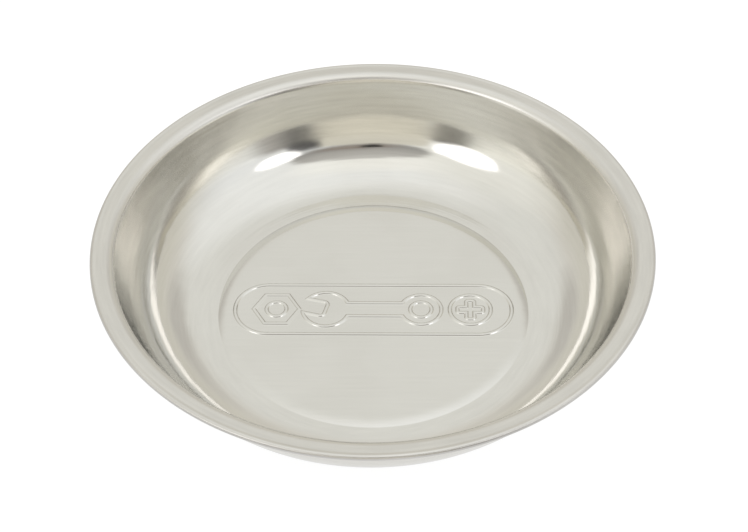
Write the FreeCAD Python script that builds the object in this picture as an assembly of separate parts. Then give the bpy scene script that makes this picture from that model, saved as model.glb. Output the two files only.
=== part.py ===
import FreeCAD, Part
import math
import os

# Round magnetic parts dish: a deep-drawn stainless dish bolted to a magnet foot.
# The origin is the middle of the foot's underside, +Z is up, and the embossed band runs along X.
# Every dimension is in millimetres.

# Dish
RIM_DIAMETER = 150.0
OVERALL_HEIGHT = 36.0
SHEET = 0.7
FLOOR_DEPTH = 26.0          # rim's top face to the floor's top face
WALL_FOOT_RADIUS = 45.9
WALL_ARCS = ((60.0, 19.85), (69.0, 38.0), (73.0, 110.0))  # slope in degrees at each arc's end, its radius
RIM_BEND = 2.8              # outside bend from wall to flange
LIP_BEND = 0.9              # outside bend from the crest to the lip
LIP_DROP = 1.0              # crest's top to the lip's lower edge
LIP_CREST = 0.1             # flange's flat to the crest's top
LIP_TILT = math.radians(9)  # from the flange's flat up to the crest
LIP_ROUNDING = 1.5
BOSS_FOOT_RADIUS = 42.4
BOSS_SHOULDER_RADIUS = 40.6
BOSS_RISE = 0.5
BOSS_SHOULDER_ROUNDING = 12.8
BOSS_FOOT_ROUNDING = 0.6

# Embossed band: a frame round a hex nut, a spanner and a cross-head screw
EMBOSS_RISE = 0.3
EMBOSS_LINE = 0.9
EMBOSS_EDGE = 0.12
BAND_LENGTH = 75.6
BAND_WIDTH = 18.6
BAND_CORNER = 9.2
SYMBOL_X = 26.5             # band's middle to the nut and to the screw
SYMBOL_RADIUS = 5.6
NUT_SYMBOL_FLATS = 10.8     # across the drawn nut's flats
NUT_BORE = 2.7
CROSS_LENGTH = 7.0
CROSS_WIDTH = 2.2
CROSS_ROUNDING = 0.6
SPANNER_HALF = 13.0         # band's middle to the spanner's jaw and to its ring
SPANNER_BAR = 5.0
BAR_ROUNDING = 0.5
JAW_RADIUS = 6.4
JAW_OPENING = 5.4
JAW_SLOT_LENGTH = 9.6
JAW_SLOT_ROUNDING = 1.2
JAW_SLOT_X = 4.6            # jaw's middle to the slot's middle
JAW_SLOT_Y = 1.2
JAW_TURN = -15.0            # degrees
RING_RADIUS = 5.6
RING_BORE = 2.9

# Foot, from the dish downwards
ADHESIVE_THICKNESS = 0.5
ADHESIVE_RADIUS = 35.5
POLE_THICKNESS = 1.5
POLE_RADIUS = 37.5
MAGNET_RADIUS = 39.0
MAGNET_BORE_RADIUS = 16.0
MAGNET_UNDERSIDE = 2.0      # above the surface that the foot stands on
MAGNET_CHAMFER = 0.6
POLE_CHAMFER = 0.2
SPACER_CHAMFER = 0.3
BOOT_RADIUS = 40.6
BOOT_LIP = 0.7              # thickness under the magnet's bore edge
BOOT_LIP_RADIUS = 38.5      # outer edge of the lip's flat top
BOOT_LIP_ROUNDING = 0.3
BOOT_LIP_GAP = 0.1          # lip's top to the boss's underside
BOOT_ADHESIVE_GAP = 0.7
BOOT_SHOULDER = 0.5         # magnet's top to the boot's shoulder
BOOT_SHOULDER_ROUNDING = 0.8
BOOT_EDGE = 1.4
BOOT_POCKET_GAP = 0.6       # round the cup's flange
BOOT_POCKET_ROUNDING = 0.5
BOOT_INNER_GAP = 1.6        # cup's mouth to the boot's inner edge
GROOVE_COUNT = 4
GROOVE_DEPTH = 0.5
GROOVE_WIDTH = 1.2
GROOVE_ROUNDING = 0.15
GROOVE_TAPER = 0.1          # narrower at the bottom, on each side
CUP_SHEET = 0.8
CUP_FLANGE_RADIUS = 21.0
CUP_BASE_RADIUS = 12.6
CUP_MOUTH_RADIUS = 14.4
CUP_BASE_TOP = 6.3
CUP_BEND = 1.4
FIT_GAP = 0.1               # radial gap between nested pieces

# Fastener, M6
THREAD_RADIUS = 3.0
HOLE_RADIUS = 3.3
STUD_FLANGE_RADIUS = 3.75
STUD_FLANGE_THICKNESS = 0.9
STUD_FLANGE_GAP = 0.45      # round the stud's flange
STUD_NECK_DEPTH = 0.5       # neck's radius below the thread's
STUD_NECK_LENGTH = 0.8
STUD_POINT = 0.6
STUD_END = 0.4
NUT_FLATS = 10.0
NUT_THICKNESS = 3.2
NUT_FACE_MARGIN = 0.2       # flats to the edge of the nut's flat face
NUT_CROWN = math.radians(30)
NUT_LEAD_IN = 0.3
THREAD_GAP = 0.02
WASHER_RADIUS = 5.6
WASHER_THICKNESS = 1.4
WASHER_BORE_RADIUS = 3.2
WASHER_SLIT = 0.8
WASHER_SLANT = 25.0         # degrees

# Levels that follow from the above
FLOOR_TOP = OVERALL_HEIGHT - FLOOR_DEPTH
BOSS_TOP = FLOOR_TOP + BOSS_RISE
BOSS_UNDERSIDE = BOSS_TOP - SHEET
POLE_TOP = BOSS_UNDERSIDE - ADHESIVE_THICKNESS
MAGNET_TOP = POLE_TOP - POLE_THICKNESS
CUP_FLANGE_TOP = MAGNET_UNDERSIDE - BOOT_LIP
WASHER_TOP = CUP_BASE_TOP - CUP_SHEET
NUT_TOP = WASHER_TOP - WASHER_THICKNESS

UP = FreeCAD.Vector(0, 0, 1)
ORIGIN = FreeCAD.Vector(0, 0, 0)


def point(radius, height):
    return FreeCAD.Vector(radius, 0, height)


def corner_edges(corners, closed):
    """Straight edges through (radius, height[, rounding]) corners, with an arc at each rounded corner."""
    spots = [point(corner[0], corner[1]) for corner in corners]
    roundings = [corner[2] if len(corner) > 2 else 0.0 for corner in corners]
    count = len(spots)
    entries = list(spots)
    exits = list(spots)
    arcs = []
    for i, spot in enumerate(spots):
        if roundings[i] <= 0.0:
            continue
        back = (spots[i - 1] - spot).normalize()
        ahead = (spots[(i + 1) % count] - spot).normalize()
        half = back.getAngle(ahead) / 2.0
        setback = roundings[i] / math.tan(half)
        inward = (back + ahead).normalize()
        entries[i] = spot + back * setback
        exits[i] = spot + ahead * setback
        middle = spot + inward * (roundings[i] / math.sin(half) - roundings[i])
        arcs.append(Part.Arc(entries[i], middle, exits[i]).toShape())
    last = count if closed else count - 1
    lines = []
    for i in range(last):
        start = exits[i]
        end = entries[(i + 1) % count]
        if start.distanceToPoint(end) > 1e-6:
            lines.append(Part.LineSegment(start, end).toShape())
    return lines + arcs


def revolve(edges):
    wire = Part.Wire(Part.__sortEdges__(edges))
    return Part.Face(wire).revolve(ORIGIN, UP, 360)


def turned(corners):
    """Solid of revolution from a closed outline of (radius, height[, rounding]) corners."""
    return revolve(corner_edges(corners, closed=True))


def under_face(corners, thickness):
    """The corners of a sheet's lower face, a thickness to the right of its upper face's corners."""
    spots = [point(corner[0], corner[1]) for corner in corners]
    directions = [(b - a).normalize() for a, b in zip(spots, spots[1:])]
    shifted = []
    for i, corner in enumerate(corners):
        before = directions[max(i - 1, 0)]
        after = directions[min(i, len(directions) - 1)]
        right_before = FreeCAD.Vector(before.z, 0, -before.x)
        right_after = FreeCAD.Vector(after.z, 0, -after.x)
        miter = (right_before + right_after).normalize()
        spot = spots[i] + miter * (thickness / miter.dot(right_after))
        left_turn = before.x * after.z - before.z * after.x > 0
        rounding = corner[2] if len(corner) > 2 else 0.0
        if rounding > 0.0:
            rounding += thickness if left_turn else -thickness
        shifted.append((spot.x, spot.z, max(rounding, 0.0)))
    return shifted


def formed_sheet(corners, thickness):
    """Solid of revolution of a sheet of even thickness, from its upper face's corners."""
    lower = under_face(corners, thickness)
    ends = []
    for i in (0, -1):
        upper_end = point(corners[i][0], corners[i][1])
        lower_end = point(lower[i][0], lower[i][1])
        ends.append(Part.LineSegment(upper_end, lower_end).toShape())
    return revolve(corner_edges(corners, closed=False) + corner_edges(lower, closed=False) + ends)


# Flat shapes of the embossed band. Each takes the amount by which its outline grows.

def disc(x, y, radius):
    return Part.Face(Part.Wire(Part.makeCircle(radius, FreeCAD.Vector(x, y, 0), UP)))


def plate(x, y, length, width, rounding):
    box = Part.makeBox(length, width, 1.0, FreeCAD.Vector(x - length / 2, y - width / 2, 0))
    upright = [e for e in box.Edges if abs(e.Vertexes[0].Z - e.Vertexes[-1].Z) > 0.5]
    rounded = box.makeFillet(rounding, upright)
    return min(rounded.Faces, key=lambda face: face.CenterOfMass.z)


def hexagon(x, y, flat_radius):
    reach = flat_radius / math.cos(math.pi / 6)
    turns = [math.pi / 3 * k for k in range(7)]
    spots = [FreeCAD.Vector(x + reach * math.cos(a), y + reach * math.sin(a), 0) for a in turns]
    return Part.Face(Part.makePolygon(spots))


def frame_outline(grow):
    return plate(0, 0, BAND_LENGTH + 2 * grow, BAND_WIDTH + 2 * grow, BAND_CORNER + grow)


def spanner_outline(grow):
    """An open jaw at the left, a ring at the right and a bar between them."""
    ring_end = disc(SPANNER_HALF, 0, RING_RADIUS + grow)
    bar = plate(0, 0, 2 * SPANNER_HALF, SPANNER_BAR + 2 * grow, BAR_ROUNDING)
    body = disc(-SPANNER_HALF, 0, JAW_RADIUS + grow).multiFuse([ring_end, bar])
    slot = plate(0, 0, JAW_SLOT_LENGTH - 2 * grow, JAW_OPENING - 2 * grow, JAW_SLOT_ROUNDING - grow)
    slot.rotate(ORIGIN, UP, JAW_TURN)
    slot.translate(FreeCAD.Vector(-SPANNER_HALF - JAW_SLOT_X, JAW_SLOT_Y, 0))
    return body.removeSplitter().cut(slot)


def cross_outline(grow):
    length = CROSS_LENGTH + 2 * grow
    width = CROSS_WIDTH + 2 * grow
    along = plate(SYMBOL_X, 0, length, width, CROSS_ROUNDING + grow)
    across = plate(SYMBOL_X, 0, width, length, CROSS_ROUNDING + grow)
    return along.fuse(across).removeSplitter()


def ridge(outline):
    """A raised line of even width that follows an outline."""
    return outline(EMBOSS_LINE / 2).cut(outline(-EMBOSS_LINE / 2)).removeSplitter()


def band_lines():
    """The band's raised lines: the frame, the nut, the spanner and the screw's head."""
    return [
        ridge(frame_outline),
        ridge(lambda grow: hexagon(-SYMBOL_X, 0, NUT_SYMBOL_FLATS / 2 + grow)),
        ridge(lambda grow: disc(-SYMBOL_X, 0, NUT_BORE + grow)),
        ridge(spanner_outline),
        ridge(lambda grow: disc(SPANNER_HALF, 0, RING_BORE + grow)),
        ridge(lambda grow: disc(SYMBOL_X, 0, SYMBOL_RADIUS + grow)),
        ridge(cross_outline),
    ]


def emboss():
    """The band as pads rooted half-way into the sheet, with their top edges bevelled."""
    root = BOSS_TOP - SHEET / 2
    top = BOSS_TOP + EMBOSS_RISE
    pads = []
    for face in band_lines():
        for pad in face.extrude(UP * (top - root)).Solids:
            pad.translate(UP * root)
            rim = [e for e in pad.Edges if min(v.Z for v in e.Vertexes) > top - 1e-4]
            pads.append(pad.makeChamfer(EMBOSS_EDGE, rim))
    return pads


def wall_corners():
    """The wall steepens in arcs from the floor up to the flange."""
    corners = []
    slope = 0.0
    radius, height = WALL_FOOT_RADIUS, FLOOR_TOP
    for steeper, rounding in WALL_ARCS:
        steeper = math.radians(steeper)
        setback = rounding * math.tan((steeper - slope) / 2)
        radius += setback * math.cos(slope)
        height += setback * math.sin(slope)
        corners.append((radius, height, rounding))
        radius += setback * math.cos(steeper)
        height += setback * math.sin(steeper)
        slope = steeper
    flange = OVERALL_HEIGHT - LIP_CREST
    corners.append((radius + (flange - height) / math.tan(slope), flange, RIM_BEND))
    return corners


def lip_corners():
    """The flange rises a little to a rounded crest, and turns down to the lip's edge."""
    rim = RIM_DIAMETER / 2
    flange = OVERALL_HEIGHT - LIP_CREST
    crest = OVERALL_HEIGHT + LIP_BEND * (1 / math.cos(LIP_TILT) + math.tan(LIP_TILT) - 1)
    return [
        (rim - (crest - flange) / math.tan(LIP_TILT), flange, LIP_ROUNDING),
        (rim, crest, LIP_BEND),
        (rim, OVERALL_HEIGHT - LIP_DROP),
    ]


def dish():
    boss = [
        (0.0, BOSS_TOP),
        (BOSS_SHOULDER_RADIUS, BOSS_TOP, BOSS_SHOULDER_ROUNDING),
        (BOSS_FOOT_RADIUS, FLOOR_TOP, BOSS_FOOT_ROUNDING),
    ]
    body = formed_sheet(boss + wall_corners() + lip_corners(), SHEET)
    return body.multiFuse(emboss()).removeSplitter()


def weld_stud():
    flange_under = BOSS_UNDERSIDE - STUD_FLANGE_THICKNESS
    neck = THREAD_RADIUS - STUD_NECK_DEPTH
    neck_end = flange_under - STUD_NECK_LENGTH
    return turned([
        (0.0, BOSS_UNDERSIDE),
        (STUD_FLANGE_RADIUS, BOSS_UNDERSIDE),
        (STUD_FLANGE_RADIUS, flange_under),
        (neck, flange_under),
        (neck, neck_end),
        (THREAD_RADIUS, neck_end - STUD_NECK_DEPTH),
        (THREAD_RADIUS, STUD_END + STUD_POINT),
        (THREAD_RADIUS - STUD_POINT, STUD_END),
        (0.0, STUD_END),
    ])


def ring(inner, outer, bottom, top, chamfer=0.0):
    if chamfer <= 0.0:
        return turned([(inner, bottom), (outer, bottom), (outer, top), (inner, top)])
    return turned([
        (inner + chamfer, bottom), (outer - chamfer, bottom),
        (outer, bottom + chamfer), (outer, top - chamfer),
        (outer - chamfer, top), (inner + chamfer, top),
        (inner, top - chamfer), (inner, bottom + chamfer),
    ])


def adhesive_ring():
    return ring(STUD_FLANGE_RADIUS + STUD_FLANGE_GAP, ADHESIVE_RADIUS, POLE_TOP, BOSS_UNDERSIDE)


def pole_plate():
    return ring(STUD_FLANGE_RADIUS + STUD_FLANGE_GAP, POLE_RADIUS, MAGNET_TOP, POLE_TOP, POLE_CHAMFER)


def ring_magnet():
    return ring(MAGNET_BORE_RADIUS, MAGNET_RADIUS, MAGNET_UNDERSIDE, MAGNET_TOP, MAGNET_CHAMFER)


def centring_spacer():
    return ring(HOLE_RADIUS, MAGNET_BORE_RADIUS - FIT_GAP, CUP_BASE_TOP, MAGNET_TOP, SPACER_CHAMFER)


def rubber_boot():
    """A cover round the magnet: ribbed underside, wall, and a lip over the pole plate's edge."""
    inner = CUP_MOUTH_RADIUS + BOOT_INNER_GAP
    pocket = CUP_FLANGE_RADIUS + BOOT_POCKET_GAP
    cavity = MAGNET_RADIUS + FIT_GAP
    pole = POLE_RADIUS + FIT_GAP
    lip = ADHESIVE_RADIUS + BOOT_ADHESIVE_GAP
    lip_top = BOSS_UNDERSIDE - BOOT_LIP_GAP
    body = turned([
        (inner, CUP_FLANGE_TOP),
        (pocket, CUP_FLANGE_TOP),
        (pocket, 0.0, BOOT_POCKET_ROUNDING),
        (BOOT_RADIUS, 0.0, BOOT_EDGE),
        (BOOT_RADIUS, MAGNET_TOP + BOOT_SHOULDER, BOOT_SHOULDER_ROUNDING),
        (BOOT_LIP_RADIUS, lip_top, BOOT_LIP_ROUNDING),
        (lip, lip_top),
        (lip, POLE_TOP),
        (pole, POLE_TOP),
        (pole, MAGNET_TOP),
        (cavity, MAGNET_TOP),
        (cavity, MAGNET_UNDERSIDE),
        (inner, MAGNET_UNDERSIDE),
    ])
    step = (BOOT_RADIUS - BOOT_EDGE - pocket) / (GROOVE_COUNT + 1)
    mouth = GROOVE_WIDTH / 2 + 2 * GROOVE_TAPER
    bottom = GROOVE_WIDTH / 2 - GROOVE_TAPER
    for k in range(1, GROOVE_COUNT + 1):
        middle = pocket + step * k
        groove = turned([
            (middle - mouth, -2 * GROOVE_TAPER),
            (middle + mouth, -2 * GROOVE_TAPER),
            (middle + bottom, GROOVE_DEPTH, GROOVE_ROUNDING),
            (middle - bottom, GROOVE_DEPTH, GROOVE_ROUNDING),
        ])
        body = body.cut(groove)
    return body


def retaining_cup():
    return formed_sheet([
        (HOLE_RADIUS, CUP_BASE_TOP),
        (CUP_BASE_RADIUS, CUP_BASE_TOP, CUP_BEND),
        (CUP_MOUTH_RADIUS, CUP_FLANGE_TOP, CUP_BEND - CUP_SHEET),
        (CUP_FLANGE_RADIUS, CUP_FLANGE_TOP),
    ], CUP_SHEET)


def lock_washer():
    """A split spring washer: a ring with one slanted slit."""
    body = ring(WASHER_BORE_RADIUS, WASHER_RADIUS, NUT_TOP, WASHER_TOP)
    slit = Part.makeBox(WASHER_RADIUS, WASHER_SLIT, 3 * WASHER_THICKNESS,
                        FreeCAD.Vector(0, -WASHER_SLIT / 2, NUT_TOP - WASHER_THICKNESS))
    slit.rotate(FreeCAD.Vector(0, 0, (NUT_TOP + WASHER_TOP) / 2), FreeCAD.Vector(1, 0, 0), WASHER_SLANT)
    return body.cut(slit)


def hex_nut():
    bottom = NUT_TOP - NUT_THICKNESS
    reach = NUT_FLATS / 2 / math.cos(math.pi / 6)
    spots = [FreeCAD.Vector(reach * math.cos(a), reach * math.sin(a), bottom)
             for a in (math.pi / 3 * k for k in range(7))]
    prism = Part.Face(Part.makePolygon(spots)).extrude(UP * NUT_THICKNESS)
    face = NUT_FLATS / 2 - NUT_FACE_MARGIN
    drop = (reach - face) * math.tan(NUT_CROWN)
    mouth = THREAD_RADIUS + NUT_LEAD_IN
    bore = THREAD_RADIUS + THREAD_GAP
    crown = turned([
        (mouth, bottom), (face, bottom),
        (reach, bottom + drop), (reach, NUT_TOP - drop),
        (face, NUT_TOP), (mouth, NUT_TOP),
        (bore, NUT_TOP - NUT_LEAD_IN), (bore, bottom + NUT_LEAD_IN),
    ])
    return prism.common(crown)


NODES = {
    "dish": dish,
    "weld_stud": weld_stud,
    "adhesive_ring": adhesive_ring,
    "pole_plate": pole_plate,
    "ring_magnet": ring_magnet,
    "centring_spacer": centring_spacer,
    "rubber_boot": rubber_boot,
    "retaining_cup": retaining_cup,
    "lock_washer": lock_washer,
    "hex_nut": hex_nut,
}

os.makedirs("parts", exist_ok=True)
for name, make in NODES.items():
    shape = make()
    solid = shape.Solids[0] if len(shape.Solids) == 1 else shape
    solid.exportStep("parts/" + name + ".step")
    box = solid.BoundBox
    print(name, len(shape.Solids), "solid", "valid" if solid.isValid() else "INVALID",
          "volume %.1f" % solid.Volume, "z %.2f to %.2f" % (box.ZMin, box.ZMax), "x to %.2f" % box.XMax)
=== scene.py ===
import math

import bpy
import numpy as np
from mathutils import Matrix, Vector
from mathutils.geometry import delaunay_2d_cdt


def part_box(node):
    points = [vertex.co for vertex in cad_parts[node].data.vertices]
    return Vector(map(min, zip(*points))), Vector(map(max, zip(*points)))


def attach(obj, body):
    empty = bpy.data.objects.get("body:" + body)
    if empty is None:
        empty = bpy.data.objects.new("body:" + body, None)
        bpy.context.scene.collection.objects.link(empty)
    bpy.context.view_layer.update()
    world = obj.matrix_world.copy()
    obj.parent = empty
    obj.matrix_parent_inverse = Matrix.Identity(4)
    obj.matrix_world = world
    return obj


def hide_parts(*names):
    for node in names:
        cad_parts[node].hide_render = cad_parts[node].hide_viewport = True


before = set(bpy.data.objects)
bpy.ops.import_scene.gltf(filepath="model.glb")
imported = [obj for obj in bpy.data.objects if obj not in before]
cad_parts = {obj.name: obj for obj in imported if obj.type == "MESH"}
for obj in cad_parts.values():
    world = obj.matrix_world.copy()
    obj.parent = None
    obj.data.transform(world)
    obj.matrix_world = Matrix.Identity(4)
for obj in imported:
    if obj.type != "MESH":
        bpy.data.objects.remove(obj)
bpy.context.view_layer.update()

# ---- sizes, in metres ------------------------------------------------------
# What the frame gives
DISH_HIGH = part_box("dish")[1]
BOOT_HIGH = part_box("rubber_boot")[1]
CUP_LOW, CUP_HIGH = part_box("retaining_cup")
STUD_LOW, STUD_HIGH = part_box("weld_stud")
MAGNET_LOW, MAGNET_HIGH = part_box("ring_magnet")
POLE_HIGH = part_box("pole_plate")[1]
FOAM_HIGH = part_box("adhesive_ring")[1]
RIM_RADIUS = DISH_HIGH[0]
RIM_TOP = DISH_HIGH[2]
BOSS_UNDERSIDE = STUD_HIGH[2]
MM = 0.001

# The dish's own section, as the CAD draws it
SHEET = 0.7 * MM
FLOOR_TOP = RIM_TOP - 26.0 * MM
BOSS_TOP = BOSS_UNDERSIDE + SHEET
WALL_FOOT_RADIUS = 45.9 * MM
WALL_ARCS = ((60, 19.85 * MM), (69, 38.0 * MM), (73, 110.0 * MM))
RIM_BEND = 2.8 * MM
LIP_BEND = 0.9 * MM
LIP_DROP = 1.0 * MM
LIP_CREST = 0.1 * MM
LIP_TILT = math.radians(9)
LIP_ROUNDING = 1.5 * MM
BOSS_FOOT_RADIUS = 42.4 * MM
BOSS_SHOULDER_RADIUS = 40.6 * MM
BOSS_SHOULDER_ROUNDING = 12.8 * MM
BOSS_FOOT_ROUNDING = 0.6 * MM

# Rubber boot
MAGNET_BORE = 16.0 * MM
FIT_GAP = 0.1 * MM
BOOT_LIP_RADIUS = 38.5 * MM
BOOT_LIP_ROUNDING = 0.3 * MM
BOOT_LIP_INNER_ROUNDING = 0.2 * MM
BOOT_FOAM_GAP = 0.7 * MM
BOOT_SHOULDER = 0.5 * MM
BOOT_SHOULDER_ROUNDING = 0.8 * MM
BOOT_EDGE = 1.4 * MM
BOOT_POCKET_GAP = 0.6 * MM
BOOT_POCKET_ROUNDING = 0.5 * MM
GROOVE_COUNT = 4
GROOVE_HALF = 0.6 * MM
GROOVE_DEPTH = 0.5 * MM
GROOVE_TAPER = 0.2 * MM
GROOVE_MOUTH_ROUNDING = 0.12 * MM
GROOVE_ROUNDING = 0.2 * MM

# Retaining cup
CUP_SHEET = 0.8 * MM
CUP_BORE = 3.3 * MM
CUP_BASE_RADIUS = 12.6 * MM
CUP_BEND = 1.4 * MM
CUP_MOUTH_RADIUS = 14.4 * MM
CUP_MOUTH_ROUNDING = 0.6 * MM
CUP_EDGE = 0.2 * MM
CUP_BORE_EDGE = 0.15 * MM

# Weld stud
STUD_FLANGE_THICKNESS = 0.9 * MM
STUD_FLANGE_EDGE = 0.15 * MM
STUD_NECK_DEPTH = 0.5 * MM
STUD_NECK_ROUNDING = 0.2 * MM
STUD_NECK_LENGTH = 1.0 * MM
STUD_POINT = 0.6 * MM
THREAD_RADIUS = 3.0 * MM
THREAD_PITCH = 1.0 * MM
THREAD_DEPTH = 0.55 * MM
THREAD_CREST = 0.12             # share of the pitch, for the crest and for the root
THREAD_OVERLAP = 0.05 * MM
THREAD_SEGMENTS = 96
THREAD_STEP = 0.1 * MM

# Embossed band
EMBOSS_RISE = 0.30 * MM
BEAD_CREST = 0.22 * MM          # half the width of a raised line's crest
BEAD_FOOT = 0.66 * MM           # half the width of its foot
BAND_LENGTH = 75.6 * MM
BAND_WIDTH = 18.6 * MM
BAND_CORNER = 9.2 * MM
SYMBOL_X = 26.5 * MM
SYMBOL_RADIUS = 5.6 * MM
NUT_FLAT_RADIUS = 5.4 * MM
NUT_BORE = 2.7 * MM
CROSS_LENGTH = 7.0 * MM
CROSS_WIDTH = 2.2 * MM
CROSS_ROUNDING = 0.6 * MM
SPANNER_HALF = 13.0 * MM
SPANNER_BAR = 5.0 * MM
BAR_ROUNDING = 0.5 * MM
JAW_RADIUS = 6.4 * MM
JAW_OPENING = 5.4 * MM
JAW_SLOT_LENGTH = 9.6 * MM
JAW_SLOT_ROUNDING = 1.2 * MM
JAW_SLOT_X = 4.6 * MM
JAW_SLOT_Y = 1.2 * MM
JAW_TURN = math.radians(-15)
RING_RADIUS = 5.6 * MM
RING_BORE = 2.9 * MM

# The patch of fine mesh that carries the band
PATCH_RADIUS = 38.8 * MM
PATCH_MARGIN = 0.1 * MM
PATCH_HALF_WIDTH = 10.2 * MM
PATCH_STEP = 0.125 * MM

SEGMENTS = 720
ARC_STEP = math.radians(3)


# ---- turned surfaces -------------------------------------------------------

def unit(vector):
    return vector / np.linalg.norm(vector)


def section(corners, closed):
    """Points of a (radius, height[, rounding]) outline, and the normal at both ends of each stretch.

    The outline runs with the material on its right. A rounded corner becomes an arc.
    """
    spots = [np.array(corner[:2], float) for corner in corners]
    roundings = [corner[2] if len(corner) > 2 else 0.0 for corner in corners]
    count = len(spots)
    points = []
    arc_normals = []
    for i, spot in enumerate(spots):
        inner = closed or 0 < i < count - 1
        if not inner or roundings[i] <= 0.0:
            points.append(spot)
            arc_normals.append(None)
            continue
        back = unit(spots[i - 1] - spot)
        ahead = unit(spots[(i + 1) % count] - spot)
        half = math.acos(float(np.clip(back @ ahead, -1, 1))) / 2
        centre = spot + unit(back + ahead) * (roundings[i] / math.sin(half))
        start = spot + back * (roundings[i] / math.tan(half)) - centre
        end = spot + ahead * (roundings[i] / math.tan(half)) - centre
        turn = math.pi - 2 * half
        steps = max(4, int(math.ceil(turn / ARC_STEP)))
        outward = 1.0 if np.cross(-back, ahead) < 0 else -1.0
        for k in range(steps + 1):
            share = k / steps
            arm = start * math.sin((1 - share) * turn) + end * math.sin(share * turn)
            arm = arm / math.sin(turn)
            if k == 0 and points and np.linalg.norm(centre + arm - points[-1]) < 1e-7:
                continue
            points.append(centre + arm)
            arc_normals.append(outward * unit(arm))
    stretches = []
    total = len(points)
    for i in range(total if closed else total - 1):
        j = (i + 1) % total
        run = points[j] - points[i]
        flat = unit(np.array([-run[1], run[0]]))
        in_arc = arc_normals[i] is not None and arc_normals[j] is not None
        if in_arc and abs(arc_normals[i] @ arc_normals[j]) > math.cos(2 * ARC_STEP) and j > i:
            stretches.append((i, j, arc_normals[i], arc_normals[j]))
        else:
            stretches.append((i, j, flat, flat))
    return points, stretches


class Shape:
    """Vertices, faces and the normal at every face corner, gathered before a mesh is made."""

    def __init__(self):
        self.vertices = []
        self.faces = []
        self.normals = []

    def point(self, x, y, z):
        self.vertices.append((float(x), float(y), float(z)))
        return len(self.vertices) - 1

    def face(self, corners, normals):
        self.faces.append(tuple(corners))
        self.normals.extend(normals)

    def turn(self, corners, closed=True, segments=SEGMENTS):
        """Adds an outline turned about the Z axis, and returns its rings of vertices."""
        points, stretches = section(corners, closed)
        turns = [2 * math.pi * k / segments for k in range(segments)]
        spin = [(math.cos(a), math.sin(a)) for a in turns]
        rings = []
        for radius, height in points:
            if radius < 1e-7:
                rings.append([self.point(0, 0, height)] * segments)
            else:
                rings.append([self.point(radius * c, radius * s, height) for c, s in spin])
        for i, j, start, end in stretches:
            for k in range(segments):
                n = (k + 1) % segments
                (c0, s0), (c1, s1) = spin[k], spin[n]
                ring = [(rings[i][k], start, c0, s0), (rings[j][k], end, c0, s0),
                        (rings[j][n], end, c1, s1), (rings[i][n], start, c1, s1)]
                kept = [r for m, r in enumerate(ring) if r[0] != ring[m - 1][0]]
                if len(kept) > 2:
                    self.face([r[0] for r in kept],
                              [(r[1][0] * r[2], r[1][0] * r[3], r[1][1]) for r in kept])
        return rings

    def build(self, name, material):
        mesh = bpy.data.meshes.new(name)
        mesh.from_pydata(self.vertices, [], self.faces)
        mesh.polygons.foreach_set("use_smooth", [True] * len(mesh.polygons))
        mesh.normals_split_custom_set(self.normals)
        mesh.materials.append(material)
        piece = bpy.data.objects.new(name, mesh)
        bpy.context.scene.collection.objects.link(piece)
        return piece


def under_face(corners, thickness):
    """The corners of a sheet's lower face, a thickness to the right of its upper face."""
    spots = [np.array(corner[:2], float) for corner in corners]
    runs = [unit(b - a) for a, b in zip(spots, spots[1:])]
    shifted = []
    for i, corner in enumerate(corners):
        before = runs[max(i - 1, 0)]
        after = runs[min(i, len(runs) - 1)]
        right = np.array([after[1], -after[0]])
        miter = unit(right + np.array([before[1], -before[0]]))
        spot = spots[i] + miter * (thickness / (miter @ right))
        rounding = corner[2] if len(corner) > 2 else 0.0
        if rounding > 0:
            rounding += thickness if np.cross(before, after) > 0 else -thickness
        shifted.append((spot[0], spot[1], max(rounding, 0.0)))
    return shifted


# ---- embossed band ---------------------------------------------------------
# Each outline is a distance function: negative inside, zero on the line.

def disc_gap(x, y, centre_x, centre_y, radius):
    return np.hypot(x - centre_x, y - centre_y) - radius


def plate_gap(x, y, centre_x, centre_y, length, width, rounding, turn=0.0):
    c, s = math.cos(turn), math.sin(turn)
    along = (x - centre_x) * c + (y - centre_y) * s
    across = (y - centre_y) * c - (x - centre_x) * s
    over_x = np.abs(along) - length / 2 + rounding
    over_y = np.abs(across) - width / 2 + rounding
    outside = np.hypot(np.maximum(over_x, 0), np.maximum(over_y, 0))
    return outside + np.minimum(np.maximum(over_x, over_y), 0) - rounding


def hexagon_gap(x, y, centre_x, flat_radius):
    faces = [math.radians(30 + 60 * k) for k in range(6)]
    return np.max([(x - centre_x) * math.cos(a) + y * math.sin(a) for a in faces], axis=0) - flat_radius


def spanner_gap(x, y):
    """An open jaw at the left, a ring at the right, and a bar between."""
    jaw_end = disc_gap(x, y, -SPANNER_HALF, 0, JAW_RADIUS)
    ring_end = disc_gap(x, y, SPANNER_HALF, 0, RING_RADIUS)
    bar = plate_gap(x, y, 0, 0, 2 * SPANNER_HALF, SPANNER_BAR, BAR_ROUNDING)
    slot = plate_gap(x, y, -SPANNER_HALF - JAW_SLOT_X, JAW_SLOT_Y,
                     JAW_SLOT_LENGTH, JAW_OPENING, JAW_SLOT_ROUNDING, JAW_TURN)
    return np.maximum(np.minimum(np.minimum(jaw_end, ring_end), bar), -slot)


def cross_gap(x, y, centre_x):
    return np.minimum(plate_gap(x, y, centre_x, 0, CROSS_LENGTH, CROSS_WIDTH, CROSS_ROUNDING),
                      plate_gap(x, y, centre_x, 0, CROSS_WIDTH, CROSS_LENGTH, CROSS_ROUNDING))


def bead(gap):
    """A raised line along an outline, with steep flanks and softened edges."""
    share = np.clip((BEAD_FOOT - np.abs(gap)) / (BEAD_FOOT - BEAD_CREST), 0, 1)
    return EMBOSS_RISE * share ** 2 * (3 - 2 * share)


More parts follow.
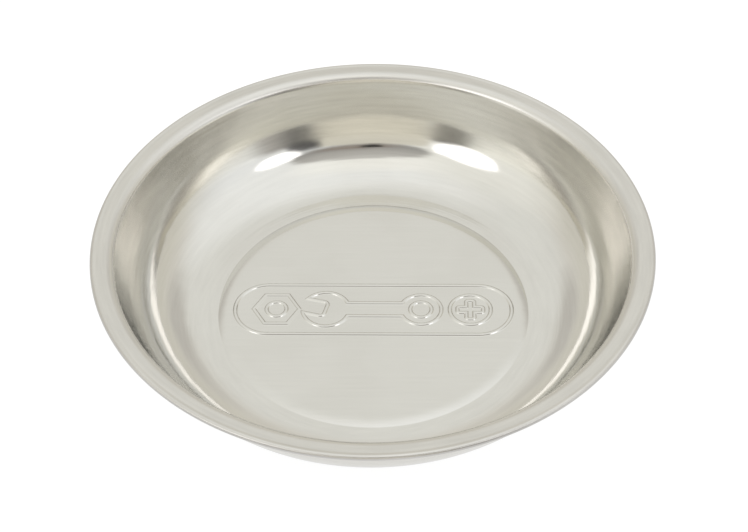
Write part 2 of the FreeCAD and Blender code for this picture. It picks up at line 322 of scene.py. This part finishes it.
def emboss_height(x, y):
    """Height of the band above the boss: a frame round a hex nut, a spanner and a cross-head screw."""
    return np.max([
        bead(plate_gap(x, y, 0, 0, BAND_LENGTH, BAND_WIDTH, BAND_CORNER)),
        bead(hexagon_gap(x, y, -SYMBOL_X, NUT_FLAT_RADIUS)),
        bead(disc_gap(x, y, -SYMBOL_X, 0, NUT_BORE)),
        bead(spanner_gap(x, y)),
        bead(disc_gap(x, y, SPANNER_HALF, 0, RING_BORE)),
        bead(disc_gap(x, y, SYMBOL_X, 0, SYMBOL_RADIUS)),
        bead(cross_gap(x, y, SYMBOL_X)),
    ], axis=0)


def emboss_patch(shape, ring):
    """Fills the boss's top inside a ring of vertices: a fine grid for the band, flat around it."""
    half_x = PATCH_STEP * math.floor(PATCH_RADIUS / PATCH_STEP)
    half_y = PATCH_STEP * math.ceil(PATCH_HALF_WIDTH / PATCH_STEP)
    columns = int(round(2 * half_x / PATCH_STEP))
    rows = int(round(2 * half_y / PATCH_STEP))
    x, y = np.meshgrid(np.linspace(-half_x, half_x, columns + 1),
                       np.linspace(-half_y, half_y, rows + 1))
    nudge = 0.02 * MM
    height = emboss_height(x, y)
    slope_x = (emboss_height(x + nudge, y) - emboss_height(x - nudge, y)) / (2 * nudge)
    slope_y = (emboss_height(x, y + nudge) - emboss_height(x, y - nudge)) / (2 * nudge)
    size = np.sqrt(slope_x ** 2 + slope_y ** 2 + 1)
    normals = np.stack([-slope_x / size, -slope_y / size, 1 / size], -1)
    near = np.hypot(x, y) < PATCH_RADIUS - PATCH_MARGIN
    kept = near[:-1, :-1] & near[:-1, 1:] & near[1:, :-1] & near[1:, 1:]
    made = {}

    def corner(j, i):
        if (j, i) not in made:
            made[j, i] = shape.point(x[j, i], y[j, i], BOSS_TOP + height[j, i])
        return made[j, i]

    def is_kept(j, i):
        return 0 <= j < rows and 0 <= i < columns and kept[j, i]

    border = []
    for j in range(rows):
        for i in range(columns):
            if not kept[j, i]:
                continue
            spots = [(j, i), (j, i + 1), (j + 1, i + 1), (j + 1, i)]
            shape.face([corner(*spot) for spot in spots], [tuple(normals[spot]) for spot in spots])
            beyond = [(j - 1, i), (j, i + 1), (j + 1, i), (j, i - 1)]
            for k, cell in enumerate(beyond):
                if not is_kept(*cell):
                    border.append((corner(*spots[k]), corner(*spots[(k + 1) % 4])))

    def in_grid(spot):
        i = math.floor((spot[0] + half_x) / PATCH_STEP)
        j = math.floor((spot[1] + half_y) / PATCH_STEP)
        return is_kept(j, i)

    fill_flat(shape, ring, border, in_grid)


def fill_flat(shape, ring, border, is_filled):
    """Flat, upward-facing triangles between a ring of vertices and the border of what is already there."""
    around = list(zip(ring, ring[1:] + ring[:1]))
    used = sorted({index for edge in around + border for index in edge})
    at = {index: k for k, index in enumerate(used)}
    spots = [Vector(shape.vertices[index][:2]) for index in used]
    edges = [(at[a], at[b]) for a, b in around + border]
    placed, _, triangles, sources, _, _ = delaunay_2d_cdt(spots, edges, [], 0, 1e-8)
    for triangle in triangles:
        middle = sum((placed[k] for k in triangle), Vector((0, 0))) / len(triangle)
        if not is_filled(middle):
            shape.face([used[sources[k][0]] for k in triangle], [(0.0, 0.0, 1.0)] * len(triangle))


# ---- material helpers ------------------------------------------------------

class Nodes:
    """Short calls that add a shader node and return its output."""

    def __init__(self, tree):
        self.tree = tree
        tree.nodes.clear()

    def add(self, kind, inputs=None, output=0, **settings):
        node = self.tree.nodes.new(kind)
        for key, value in settings.items():
            setattr(node, key, value)
        for key, value in (inputs or {}).items():
            self.feed(node.inputs[key], value)
        return node.outputs[output] if node.outputs else None

    def feed(self, target, value):
        if isinstance(value, bpy.types.NodeSocket):
            self.tree.links.new(value, target)
        else:
            target.default_value = value

    def maths(self, operation, a, b=0.0, c=0.0):
        return self.add("ShaderNodeMath", {0: a, 1: b, 2: c}, operation=operation)

    def vector(self, operation, a, b=(0, 0, 0), output=0):
        return self.add("ShaderNodeVectorMath", {0: a, 1: b}, output, operation=operation)

    def dot(self, a, b):
        return self.vector("DOT_PRODUCT", a, b, "Value")

    def smooth(self, value, low, high, at_low=0.0, at_high=1.0):
        """at_low below low, at_high above high, and a soft step between."""
        return self.add("ShaderNodeMapRange",
                        {"Value": value, "From Min": low, "From Max": high,
                         "To Min": at_low, "To Max": at_high},
                        interpolation_type="SMOOTHSTEP")

    def blend(self, share, a, b):
        """Mixes two numbers."""
        return self.add("ShaderNodeMix", {"Factor": share, "A": a, "B": b})

    def tint(self, share, a, b, how="MIX"):
        """Mixes two colours."""
        node = self.tree.nodes.new("ShaderNodeMix")
        node.data_type = "RGBA"
        node.blend_type = how
        self.feed(node.inputs["Factor"], share)
        self.feed(node.inputs[6], a)
        self.feed(node.inputs[7], b)
        return node.outputs[2]

    def noise(self, where, scale, detail=3.0, roughness=0.5):
        return self.add("ShaderNodeTexNoise",
                        {"Vector": where, "Scale": scale, "Detail": detail, "Roughness": roughness})

    def ramp(self, value, stops):
        """A colour that changes smoothly through (place, colour) stops."""
        node = self.tree.nodes.new("ShaderNodeValToRGB")
        self.feed(node.inputs["Fac"], value)
        marks = node.color_ramp.elements
        while len(marks) < len(stops):
            marks.new(1.0)
        for mark, (place, colour) in zip(marks, stops):
            mark.position = place
            mark.color = (*colour, 1)
        return node.outputs["Color"]

    def place(self):
        """Position in the row frame, in millimetres."""
        spot = self.add("ShaderNodeTexCoord", output="Object")
        return self.vector("MULTIPLY", spot, (1 / MM, 1 / MM, 1 / MM))

    def split(self, vector):
        node = self.tree.nodes.new("ShaderNodeSeparateXYZ")
        self.feed(node.inputs[0], vector)
        return node.outputs

    def join(self, x, y, z):
        return self.add("ShaderNodeCombineXYZ", {0: x, 1: y, 2: z})

    def bump(self, height, depth_mm, normal=None):
        inputs = {"Height": height, "Distance": depth_mm * MM, "Strength": 1.0}
        if normal is not None:
            inputs["Normal"] = normal
        return self.add("ShaderNodeBump", inputs)


def new_material(name):
    material = bpy.data.materials.new(name)
    material.use_nodes = True
    return material, Nodes(material.node_tree)


def surface(nodes, inputs):
    shader = nodes.add("ShaderNodeBsdfPrincipled", inputs)
    nodes.add("ShaderNodeOutputMaterial", {"Surface": shader})


def grey(level, warmth=0.0):
    """A neutral colour, a little warmer where warmth is above zero."""
    return (level * (1 + 0.4 * warmth), level * (1 + 0.1 * warmth), level * (1 - warmth), 1.0)


# ---- materials -------------------------------------------------------------

def stainless():
    """Bright sheet: straight grain on the boss, turned lines round it and up the wall, a duller flange,
    and painted shade as a dark line along the lip's outer edge.
    """
    material, n = new_material("stainless_sheet")
    place = n.place()
    x, y, z = n.split(place)
    flat_place = n.join(x, y, 0.0)
    radius = n.vector("LENGTH", flat_place, output="Value")
    spin = n.vector("NORMALIZE", flat_place)
    floor_mm = FLOOR_TOP / MM
    rim_mm = RIM_TOP / MM
    rim_radius_mm = RIM_RADIUS / MM
    boss_mm = BOSS_FOOT_RADIUS / MM
    wall = n.smooth(z, floor_mm + 7.5, floor_mm + 10.5)
    flange = n.smooth(z, rim_mm - 2.4, rim_mm - 0.9)
    # painted shade: a thin band just inside the rim's outer edge, darkened in the colour to stand for a
    # shaded line there
    painted_edge_shade = n.smooth(radius, rim_radius_mm - 0.75, rim_radius_mm - 0.35)
    on_boss = n.smooth(radius, boss_mm - 1.5, boss_mm, 1.0, 0.0)

    across = n.join(0, 0, n.maths("MULTIPLY", n.maths("ADD", radius, z), 0.7))
    lines = n.noise(n.vector("ADD", n.vector("MULTIPLY", spin, (4, 4, 0)), across), 1.0, 3.0, 0.65)
    grain = n.noise(n.vector("MULTIPLY", place, (0.05, 1.6, 1.6)), 1.0, 2.0, 0.6)
    marks = n.blend(on_boss, lines, grain)
    contrast = n.blend(wall, n.blend(on_boss, 0.12, 0.05), 0.26)
    tone = n.maths("ADD", 1.0, n.maths("MULTIPLY", n.maths("SUBTRACT", marks, 0.5), contrast))
    clouds = n.noise(place, 0.055, 2.0, 0.45)
    dull_spots = n.noise(place, 0.6, 3.0, 0.6)

    around = n.vector("CROSS_PRODUCT", (0, 0, 1), spin)
    blur_way = n.add("ShaderNodeMix", {"Factor": wall, 4: (0.0, 1.0, 0.0), 5: around}, 1,
                     data_type="VECTOR")

    rough = n.blend(wall, 0.09, 0.17)
    rough = n.blend(flange, rough, 0.30)
    rough = n.maths("ADD", rough, n.maths("MULTIPLY", n.maths("SUBTRACT", dull_spots, 0.5), 0.04))
    colour = n.tint(n.smooth(clouds, 0.35, 0.65), (0.650, 0.641, 0.618, 1), (0.666, 0.658, 0.636, 1))
    colour = n.tint(wall, colour, (0.712, 0.699, 0.656, 1))
    colour = n.tint(flange, colour, (0.642, 0.631, 0.608, 1))
    # painted shade: the colour turns darker in that thin band at the lip's outer edge
    colour = n.tint(painted_edge_shade, colour, (0.575, 0.563, 0.545, 1))
    colour = n.vector("MULTIPLY", colour, n.join(tone, tone, tone))

    drawn_rings = n.noise(n.join(n.maths("MULTIPLY", radius, 0.45), 0, 0), 1.0, 3.0, 0.55)
    rolled_bands = n.noise(n.vector("MULTIPLY", place, (0.012, 0.22, 0)), 1.0, 3.0, 0.55)
    waviness = n.bump(clouds, 0.15)
    waviness = n.bump(n.blend(on_boss, drawn_rings, rolled_bands), 0.030, waviness)
    normal = n.bump(marks, 0.006, waviness)
    surface(n, {"Base Color": colour, "Metallic": 1.0, "Roughness": rough,
                "Anisotropic": n.blend(wall, 0.35, 0.75), "Tangent": blur_way, "Normal": normal})
    return material


def rubber():
    """Black moulded rubber: matt, with a fine grain and a little dust on it."""
    material, n = new_material("boot_rubber")
    place = n.place()
    grain = n.noise(place, 4.0, 4.0, 0.6)
    dust = n.smooth(n.noise(place, 0.25, 4.0, 0.65), 0.5, 0.75)
    colour = n.tint(dust, grey(0.018), grey(0.038, 0.1))
    surface(n, {"Base Color": colour, "Roughness": n.blend(dust, 0.55, 0.72), "Specular IOR Level": 0.4,
                "Normal": n.bump(grain, 0.03)})
    return material


def plated_steel(name, level, rough, scale=0.8):
    """Zinc-plated steel: a cold metal with soft mottling and fine random scratches."""
    material, n = new_material(name)
    place = n.place()
    mottle = n.noise(place, scale, 4.0, 0.6)
    scratches = n.noise(n.vector("MULTIPLY", place, (0.4, 6.0, 1.0)), 1.0, 2.0, 0.6)
    colour = n.tint(n.smooth(mottle, 0.3, 0.7), grey(level * 0.9), (level, level * 1.01, level * 1.03, 1))
    surface(n, {"Base Color": colour, "Metallic": 1.0,
                "Roughness": n.blend(mottle, rough - 0.06, rough + 0.08),
                "Normal": n.bump(scratches, 0.004)})
    return material


def ferrite():
    """Sintered ceramic: near black, with a ground, slightly granular face."""
    material, n = new_material("ferrite_ceramic")
    place = n.place()
    grains = n.noise(place, 3.0, 5.0, 0.7)
    colour = n.tint(grains, grey(0.045), grey(0.085))
    surface(n, {"Base Color": colour, "Roughness": n.blend(grains, 0.45, 0.65),
                "Normal": n.bump(grains, 0.03)})
    return material


def foam():
    """Closed-cell foam: pale, with small cells."""
    material, n = new_material("bonding_foam")
    place = n.place()
    cells = n.add("ShaderNodeTexVoronoi", {"Vector": place, "Scale": 2.2})
    colour = n.tint(cells, grey(0.70, 0.06), grey(0.80, 0.04))
    surface(n, {"Base Color": colour, "Roughness": 0.85, "Normal": n.bump(cells, 0.08)})
    return material


def nylon():
    """Natural moulded nylon: ivory, slightly cloudy."""
    material, n = new_material("natural_nylon")
    clouds = n.noise(n.place(), 0.4, 3.0)
    colour = n.tint(clouds, grey(0.70, 0.07), grey(0.78, 0.05))
    surface(n, {"Base Color": colour, "Roughness": n.blend(clouds, 0.34, 0.46), "Subsurface Weight": 0.15,
                "Subsurface Scale": 1.0 * MM})
    return material


# ---- pieces ----------------------------------------------------------------

def place_piece(piece, node):
    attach(piece, "root")
    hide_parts(node)
    return piece


def wall_corners():
    """The wall steepens in arcs from the floor up to the flange."""
    corners = []
    slope = 0.0
    radius, height = WALL_FOOT_RADIUS, FLOOR_TOP
    for steeper, rounding in WALL_ARCS:
        steeper = math.radians(steeper)
        setback = rounding * math.tan((steeper - slope) / 2)
        radius += setback * math.cos(slope)
        height += setback * math.sin(slope)
        corners.append((radius, height, rounding))
        radius += setback * math.cos(steeper)
        height += setback * math.sin(steeper)
        slope = steeper
    flange = RIM_TOP - LIP_CREST
    corners.append((radius + (flange - height) / math.tan(slope), flange, RIM_BEND))
    return corners


def lip_corners():
    """The flange rises a little to a rounded crest, and turns down to the lip's edge."""
    flange = RIM_TOP - LIP_CREST
    crest = RIM_TOP + LIP_BEND * (1 / math.cos(LIP_TILT) + math.tan(LIP_TILT) - 1)
    return [
        (RIM_RADIUS - (crest - flange) / math.tan(LIP_TILT), flange, LIP_ROUNDING),
        (RIM_RADIUS, crest, LIP_BEND),
        (RIM_RADIUS, RIM_TOP - LIP_DROP),
    ]


def make_dish():
    upper = [
        (PATCH_RADIUS, BOSS_TOP),
        (BOSS_SHOULDER_RADIUS, BOSS_TOP, BOSS_SHOULDER_ROUNDING),
        (BOSS_FOOT_RADIUS, FLOOR_TOP, BOSS_FOOT_ROUNDING),
    ] + wall_corners() + lip_corners()
    lower = under_face([(0.0, BOSS_TOP)] + upper[1:], SHEET)
    shape = Shape()
    rings = shape.turn(upper + lower[::-1], closed=False)
    emboss_patch(shape, rings[0])
    return place_piece(shape.build("dish_sheet", stainless()), "dish")


def make_boot():
    """Rubber cover round the magnet, grooved underneath, with a lip over the pole plate's edge."""
    pocket = CUP_HIGH[0] + BOOT_POCKET_GAP
    inner_top = CUP_LOW[2] + CUP_SHEET
    cavity = MAGNET_HIGH[0] + FIT_GAP
    pole = POLE_HIGH[0] + FIT_GAP
    lip = FOAM_HIGH[0] + BOOT_FOAM_GAP
    outline = [
        (MAGNET_BORE, MAGNET_LOW[2]),
        (cavity, MAGNET_LOW[2]),
        (cavity, MAGNET_HIGH[2]),
        (pole, MAGNET_HIGH[2]),
        (pole, POLE_HIGH[2]),
        (lip, POLE_HIGH[2]),
        (lip, BOOT_HIGH[2], BOOT_LIP_INNER_ROUNDING),
        (BOOT_LIP_RADIUS, BOOT_HIGH[2], BOOT_LIP_ROUNDING),
        (BOOT_HIGH[0], MAGNET_HIGH[2] + BOOT_SHOULDER, BOOT_SHOULDER_ROUNDING),
        (BOOT_HIGH[0], 0.0, BOOT_EDGE),
    ]
    step = (BOOT_HIGH[0] - BOOT_EDGE - pocket) / (GROOVE_COUNT + 1)
    bottom = GROOVE_HALF - GROOVE_TAPER
    for k in range(GROOVE_COUNT, 0, -1):
        middle = pocket + step * k
        outline += [
            (middle + GROOVE_HALF, 0.0, GROOVE_MOUTH_ROUNDING),
            (middle + bottom, GROOVE_DEPTH, GROOVE_ROUNDING),
            (middle - bottom, GROOVE_DEPTH, GROOVE_ROUNDING),
            (middle - GROOVE_HALF, 0.0, GROOVE_MOUTH_ROUNDING),
        ]
    outline += [
        (pocket, 0.0, BOOT_POCKET_ROUNDING),
        (pocket, inner_top),
        (MAGNET_BORE, inner_top),
    ]
    shape = Shape()
    shape.turn(outline)
    return place_piece(shape.build("boot_cover", rubber()), "rubber_boot")


def make_cup():
    """Pressed steel dish that holds the magnet: a recessed base for the nut and a flat flange."""
    flange = CUP_LOW[2] + CUP_SHEET
    upper = [
        (CUP_BORE, CUP_HIGH[2]),
        (CUP_BASE_RADIUS, CUP_HIGH[2], CUP_BEND),
        (CUP_MOUTH_RADIUS, flange, CUP_MOUTH_ROUNDING),
        (CUP_HIGH[0], flange),
    ]
    lower = under_face(upper, CUP_SHEET)
    rim = [(CUP_HIGH[0], flange, CUP_EDGE), (CUP_HIGH[0], CUP_LOW[2], CUP_EDGE)]
    bore = [(CUP_BORE, CUP_HIGH[2] - CUP_SHEET, CUP_BORE_EDGE), (CUP_BORE, CUP_HIGH[2], CUP_BORE_EDGE)]
    shape = Shape()
    shape.turn(upper[1:-1] + rim + lower[-2:0:-1] + bore)
    material = plated_steel("cup_steel", 0.68, 0.24)
    return place_piece(shape.build("cup_pressing", material), "retaining_cup")


def thread_radius(z, turn):
    """Radius of the thread's surface at a height and a turn about the axis, with a pointed lower end."""
    place = (z / THREAD_PITCH - turn / (2 * math.pi)) % 1.0
    flank = np.clip((np.abs(2 * place - 1) - THREAD_CREST) / (1 - 2 * THREAD_CREST), 0, 1)
    point = THREAD_RADIUS - np.maximum(STUD_LOW[2] + STUD_POINT - z, 0)
    return np.minimum(THREAD_RADIUS - THREAD_DEPTH * flank, point)


def make_stud():
    """Welded stud: a round flange against the boss, a plain neck and an M6 thread."""
    shape = Shape()
    flange_under = STUD_HIGH[2] - STUD_FLANGE_THICKNESS
    neck = THREAD_RADIUS - STUD_NECK_DEPTH
    neck_end = flange_under - STUD_NECK_LENGTH
    shape.turn([
        (0.0, STUD_HIGH[2]),
        (STUD_HIGH[0], STUD_HIGH[2]),
        (STUD_HIGH[0], flange_under, STUD_FLANGE_EDGE),
        (neck, flange_under, STUD_NECK_ROUNDING),
        (neck, neck_end),
    ], closed=False, segments=THREAD_SEGMENTS)
    heights = np.arange(STUD_LOW[2], neck_end + THREAD_OVERLAP, THREAD_STEP)
    turns = np.linspace(0, 2 * math.pi, THREAD_SEGMENTS + 1)[:-1]
    z, turn = np.meshgrid(heights, turns, indexing="ij")
    radius = thread_radius(z, turn)
    rise = 0.01 * MM
    swing = 0.001
    by_height = (thread_radius(z + rise, turn) - thread_radius(z - rise, turn)) / (2 * rise)
    by_turn = (thread_radius(z, turn + swing) - thread_radius(z, turn - swing)) / (2 * swing) / radius
    size = np.sqrt(1 + by_height ** 2 + by_turn ** 2)
    c, s = np.cos(turn), np.sin(turn)
    normals = np.stack([(c + by_turn * s) / size, (s - by_turn * c) / size, -by_height / size], -1)
    count = len(turns)
    grid = [[shape.point(radius[j, k] * c[j, k], radius[j, k] * s[j, k], z[j, k]) for k in range(count)]
            for j in range(len(heights))]
    for j in range(len(heights) - 1):
        for k in range(count):
            spots = [(j, k), (j, (k + 1) % count), (j + 1, (k + 1) % count), (j + 1, k)]
            shape.face([grid[a][b] for a, b in spots], [tuple(normals[spot]) for spot in spots])
    shape.face(grid[0][::-1], [(0.0, 0.0, -1.0)] * count)
    material = plated_steel("stud_steel", 0.62, 0.30)
    return place_piece(shape.build("threaded_stud", material), "weld_stud")


def dress(node, material):
    """Gives a CAD node its finished material."""
    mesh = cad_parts[node].data
    mesh.materials.clear()
    mesh.materials.append(material)


make_dish()
make_boot()
make_cup()
make_stud()
dress("adhesive_ring", foam())
dress("pole_plate", plated_steel("pole_steel", 0.56, 0.34))
dress("ring_magnet", ferrite())
dress("centring_spacer", nylon())
dress("lock_washer", plated_steel("washer_steel", 0.50, 0.32))
dress("hex_nut", plated_steel("nut_steel", 0.66, 0.22))


# ---- studio ----------------------------------------------------------------

def make_floor():
    """A pale sweep that the dish stands on: mostly its own light, so that shadows stay faint."""
    material, n = new_material("studio_floor")
    soft = n.noise(n.place(), 0.01, 2.0)
    paper = n.add("ShaderNodeBsdfDiffuse", {"Color": n.tint(soft, grey(0.14), grey(0.15))})
    seen = n.add("ShaderNodeLightPath", output="Is Camera Ray")
    lamp = n.add("ShaderNodeEmission", {"Color": (1, 1, 1, 1), "Strength": n.blend(seen, 0.80, 0.93)})
    n.add("ShaderNodeOutputMaterial", {"Surface": n.add("ShaderNodeAddShader", {0: paper, 1: lamp})})
    mesh = bpy.data.meshes.new("studio_floor")
    half = 6.0
    corners = [(-half, -half, 0), (half, -half, 0), (half, half, 0), (-half, half, 0)]
    mesh.from_pydata(corners, [], [(0, 1, 2, 3)])
    mesh.materials.append(material)
    floor = bpy.data.objects.new("studio_floor", mesh)
    bpy.context.scene.collection.objects.link(floor)


STUDIO_TURN = -1.35     # degrees


def bearing_vector(azimuth, elevation):
    """Direction at an azimuth in degrees, 0 behind the dish and 90 to its right, and an elevation.

    The camera and its lights stand a little to the right of the band's own front.
    """
    a, e = math.radians(azimuth + STUDIO_TURN), math.radians(elevation)
    return Vector((math.sin(a) * math.cos(e), math.cos(a) * math.cos(e), math.sin(e)))


def glow(n, way, below, azimuth, elevation, inner, outer, light):
    """Changes the light so far round one direction: fully within inner degrees, and not beyond outer."""
    nearness = n.dot(way, tuple(bearing_vector(azimuth, elevation)))
    share = n.smooth(nearness, math.cos(math.radians(outer)), math.cos(math.radians(inner)))
    return n.tint(share, below, light)


def card(n, way, below, azimuth, elevation, half_width, half_height, squareness, soft, light):
    """Lays a soft-edged panel over the light so far. Squareness 2 is an oval, and 8 nearly a rectangle."""
    facing = bearing_vector(azimuth, elevation)
    side = Vector((facing.y, -facing.x, 0)).normalized()
    top = side.cross(facing)
    ahead = n.maths("MAXIMUM", n.dot(way, tuple(facing)), 0.001)
    reach = 0.0
    for axis, half in ((side, half_width), (top, half_height)):
        offset = n.maths("ABSOLUTE", n.maths("DIVIDE", n.dot(way, tuple(axis)), ahead))
        offset = n.maths("MINIMUM", n.maths("DIVIDE", offset, math.tan(math.radians(half))), 9.0)
        reach = n.maths("ADD", reach, n.maths("POWER", offset, squareness))
    reach = n.maths("POWER", reach, 1 / squareness)
    return n.tint(n.smooth(reach, 1 - soft, 1 + soft, 1.0, 0.0), below, light)


def sky(elevation):
    return math.sin(math.radians(elevation))


# The room round the dish, in degrees and linear light. A glow is azimuth, elevation, inner radius, outer
# radius and light. A card is azimuth, elevation, half width, half height, squareness, softness and light.
# The front and hood cards take their light from the stops below them.
TENT_STOPS = (
    (sky(3), (0.69, 0.675, 0.615)),
    (sky(20), (0.72, 0.71, 0.65)),
    (sky(32), (0.77, 0.76, 0.715)),
    (sky(45), (0.84, 0.85, 0.825)),
    (sky(60), (0.87, 0.885, 0.86)),
    (sky(72), (0.95, 0.96, 0.94)),
    (sky(84), (1.01, 1.035, 1.02)),
)
BROAD_GLOWS = (
    (-134, 32, 14, 58, (0.98, 0.99, 0.95, 1)),
    (133, 36, 12, 56, (0.97, 1.0, 1.02, 1)),
    (110, 68, 8, 48, (1.02, 1.045, 1.05, 1)),
)
REAR_CARDS = (
    (-29, 32.5, 15, 8, 2, 0.6, (0.61, 0.60, 0.57, 1)),
    (29, 32.5, 15, 8, 2, 0.6, (0.61, 0.60, 0.57, 1)),
)
OVERHEAD_GLOWS = (
    (165, 66, 5, 24, (1.10, 1.115, 1.09, 1)),
    (-165, 63, 5, 22, (1.08, 1.09, 1.06, 1)),
)
FRONT_CARD = (180, 18, 24.8, 20.5, 8, 0.05)
FRONT_STOPS = (
    (sky(8), (0.735, 0.71, 0.63)),
    (sky(36), (0.78, 0.76, 0.675)),
)
HOOD_CARD = (174, 50.5, 26, 12.5, 2.2, 0.14)
HOOD_STOPS = (
    (sky(42), (0.36, 0.36, 0.35)),
    (sky(50), (0.50, 0.495, 0.475)),
    (sky(62), (0.66, 0.66, 0.64)),
)
DARK_STRIPS = (
    (-144, 8, 8.5, 18, 6, 0.2, (0.18, 0.175, 0.16, 1)),
    (140, 4, 12, 20, 6, 0.25, (0.42, 0.41, 0.40, 1)),
    (148, 14, 7.0, 22, 6, 0.25, (0.12, 0.12, 0.12, 1)),
)
OVAL_LAMPS = (
    (-132.5, 32.5, 13.6, 12.3, 2, 0.15, (2.0, 2.0, 2.05, 1)),
    (132, 36, 9.6, 8, 2, 0.15, (2.0, 2.0, 2.05, 1)),
)
CAMERA_CARDS = (
    (172, 43, 15, 3.6, 2.5, 0.5, (0.33, 0.29, 0.26, 1)),
    (180, 42.5, 4.5, 3.0, 2, 0.3, (0.03, 0.03, 0.03, 1)),
)
LAMP_COLOUR = (1.163, 1.145, 1.115, 1)


def make_world():
    """A light tent seen by what reflects it, and plain white to the camera. Later parts lie on top."""
    world = bpy.data.worlds.new("studio")
    bpy.context.scene.world = world
    world.use_nodes = True
    n = Nodes(world.node_tree)
    way = n.add("ShaderNodeTexCoord", output="Generated")
    z = n.split(way)[2]
    light = n.ramp(z, TENT_STOPS)
    for spot in BROAD_GLOWS:
        light = glow(n, way, light, *spot)
    for panel in REAR_CARDS:
        light = card(n, way, light, *panel)
    for spot in OVERHEAD_GLOWS:
        light = glow(n, way, light, *spot)
    light = card(n, way, light, *FRONT_CARD, n.ramp(z, FRONT_STOPS))
    light = card(n, way, light, *HOOD_CARD, n.ramp(z, HOOD_STOPS))
    for panel in DARK_STRIPS + OVAL_LAMPS + CAMERA_CARDS:
        light = card(n, way, light, *panel)
    seen = n.add("ShaderNodeLightPath", output="Is Camera Ray")
    lit = n.tint(1.0, light, LAMP_COLOUR, "MULTIPLY")
    shown = n.tint(seen, lit, (1, 1, 1, 1))
    n.add("ShaderNodeOutputWorld", {"Surface": n.add("ShaderNodeBackground", {"Color": shown})})


CAMERA_DISTANCE = 0.600
CAMERA_ELEVATION = 43.99
CAMERA_ROLL = -0.77
LENS_MM = 108.7
SENSOR_MM = 36.0
CAMERA_SHIFT = (0.0021, -0.0314)


def make_camera():
    """A long lens in front of the dish, aimed at the middle of its rim."""
    target = Vector((0, 0, RIM_TOP))
    back = bearing_vector(180, CAMERA_ELEVATION)
    camera = bpy.data.objects.new("camera", bpy.data.cameras.new("camera"))
    bpy.context.scene.collection.objects.link(camera)
    turn = (-back).to_track_quat("-Z", "Y").to_matrix().to_4x4()
    roll = Matrix.Rotation(math.radians(CAMERA_ROLL), 4, "Z")
    camera.matrix_world = Matrix.Translation(target + back * CAMERA_DISTANCE) @ turn @ roll
    camera.data.lens = LENS_MM
    camera.data.sensor_width = SENSOR_MM
    camera.data.shift_x = CAMERA_SHIFT[0]
    camera.data.shift_y = CAMERA_SHIFT[1]
    camera.data.clip_start = 0.01
    bpy.context.scene.camera = camera


make_floor()
make_world()
make_camera()
bpy.context.scene.view_settings.view_transform = "Standard"
